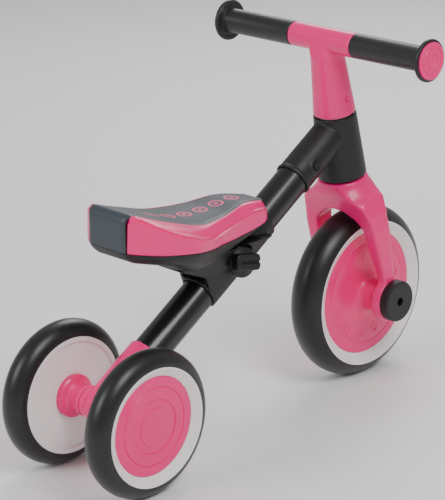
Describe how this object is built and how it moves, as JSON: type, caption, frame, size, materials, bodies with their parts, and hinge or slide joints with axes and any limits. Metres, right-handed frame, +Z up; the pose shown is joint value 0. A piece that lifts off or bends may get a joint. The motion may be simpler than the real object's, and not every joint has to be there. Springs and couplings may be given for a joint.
{
  "type": "toddler tricycle",
  "caption": "Foot-pushed toddler tricycle with a sloping tube frame, steered front wheel, T handlebar, padded saddle on a sliding clamp and round foam tyres.",
  "frame": {"origin": "on the floor under the middle of the bounding box", "axes": "+X forward, +Y to the rider's left, +Z up"},
  "size_m": [0.5853, 0.3028, 0.4338],
  "materials": {
    "painted_tube": "black powder coat, satin",
    "black_plastic": "moulded, fine spark texture",
    "pink_plastic": "moulded, soft gloss",
    "white_plastic": "moulded, soft gloss",
    "foam_tyre": "closed-cell foam skin, satin",
    "grip_rubber": "moulded, fine ribbed",
    "saddle_skin": "soft moulded skin, fine grain",
    "steel": "zinc plated",
    "brass": "turned",
    "nylon": "natural nylon"
  },
  "bodies": {
    "frame": {"main_tube": "painted_tube", "head_tube": "black_plastic", "steering_bush_upper": "nylon", "steering_bush_lower": "nylon", "rear_axle_carrier": "pink_plastic", "carrier_cross_bolt": "steel", "rear_axle": "steel", "rear_axle_push_nuts": "steel", "frame_button_spring": "steel"},
    "fork": {"fork": "pink_plastic", "steerer_tube": "steel", "stem": "pink_plastic", "handlebar_tube": "steel", "grip_left": "grip_rubber", "grip_right": "grip_rubber", "grip_cap_left": "pink_plastic", "grip_cap_right": "pink_plastic", "front_axle": "steel", "front_axle_spacers": "steel", "axle_cap_left": "black_plastic", "axle_cap_right": "black_plastic", "stem_button_spring": "steel"},
    "front_wheel": {"front_tyre": "foam_tyre", "front_rim": "white_plastic", "front_cover_left": "pink_plastic", "front_cover_right": "pink_plastic", "front_wheel_bearings": "steel"},
    "rear_wheel_left": {"rear_tyre_left": "foam_tyre", "rear_rim_left": "white_plastic", "rear_cover_left": "pink_plastic", "rear_collar_left": "pink_plastic", "rear_bushes_left": "nylon"},
    "rear_wheel_right": {"rear_tyre_right": "foam_tyre", "rear_rim_right": "white_plastic", "rear_cover_right": "pink_plastic", "rear_collar_right": "pink_plastic", "rear_bushes_right": "nylon"},
    "saddle": {"saddle_shell": "pink_plastic", "saddle_pad": "saddle_skin", "saddle_pan": "black_plastic", "saddle_bracket": "black_plastic", "clamp_insert": "brass", "saddle_bracket_screws": "steel", "saddle_pan_screws": "steel"},
    "clamp_pad": {"clamp_pad": "nylon"},
    "clamp_knob": {"clamp_knob": "black_plastic", "clamp_screw": "steel"},
    "frame_button": {"frame_button": "black_plastic"},
    "stem_button": {"stem_button": "pink_plastic"}
  },
  "joints": [
    {"name": "steering", "type": "hinge", "parent": "frame", "child": "fork", "pos_m": [0.19052, 0, 0.10215], "axis": [-0.1797, 0, 0.9837], "range_deg": [-45, 45]},
    {"name": "front_wheel_spin", "type": "hinge", "parent": "fork", "child": "front_wheel", "pos_m": [0.19052, 0, 0.10215], "axis": [0, 1, 0], "continuous": true},
    {"name": "rear_left_spin", "type": "hinge", "parent": "frame", "child": "rear_wheel_left", "pos_m": [-0.21268, 0.0636, 0.08], "axis": [0, 1, 0], "continuous": true},
    {"name": "rear_right_spin", "type": "hinge", "parent": "frame", "child": "rear_wheel_right", "pos_m": [-0.21268, -0.0636, 0.08], "axis": [0, 1, 0], "continuous": true},
    {"name": "saddle_slide", "type": "slide", "parent": "frame", "child": "saddle", "axis": [0.8499, 0, 0.527], "range_m": [-0.03, 0.03]},
    {"name": "clamp_travel", "type": "slide", "parent": "saddle", "child": "clamp_pad", "axis": [-0.1275, -0.9703, 0.2056], "range_m": [0, 0.002]},
    {"name": "knob_turn", "type": "hinge", "parent": "clamp_pad", "child": "clamp_knob", "pos_m": [-0.02825, 0, 0.19435], "axis": [-0.1275, -0.9703, 0.2056], "range_deg": [0, 361]},
    {"name": "frame_button_press", "type": "slide", "parent": "frame", "child": "frame_button", "axis": [0.1096, 0.9781, -0.1767], "range_m": [0, 0.003], "stiffness_N_per_m": 1500, "springref_m": -0.001, "deforming": ["frame_button_spring"]},
    {"name": "stem_button_press", "type": "slide", "parent": "fork", "child": "stem_button", "axis": [0, 1, 0], "range_m": [0, 0.002], "stiffness_N_per_m": 1000, "springref_m": -0.001, "deforming": ["stem_button_spring"]}
  ],
  "couplings": [
    {"joint": "knob_turn", "follows": "clamp_travel", "rad_per_m": 3141.6}
  ]
}
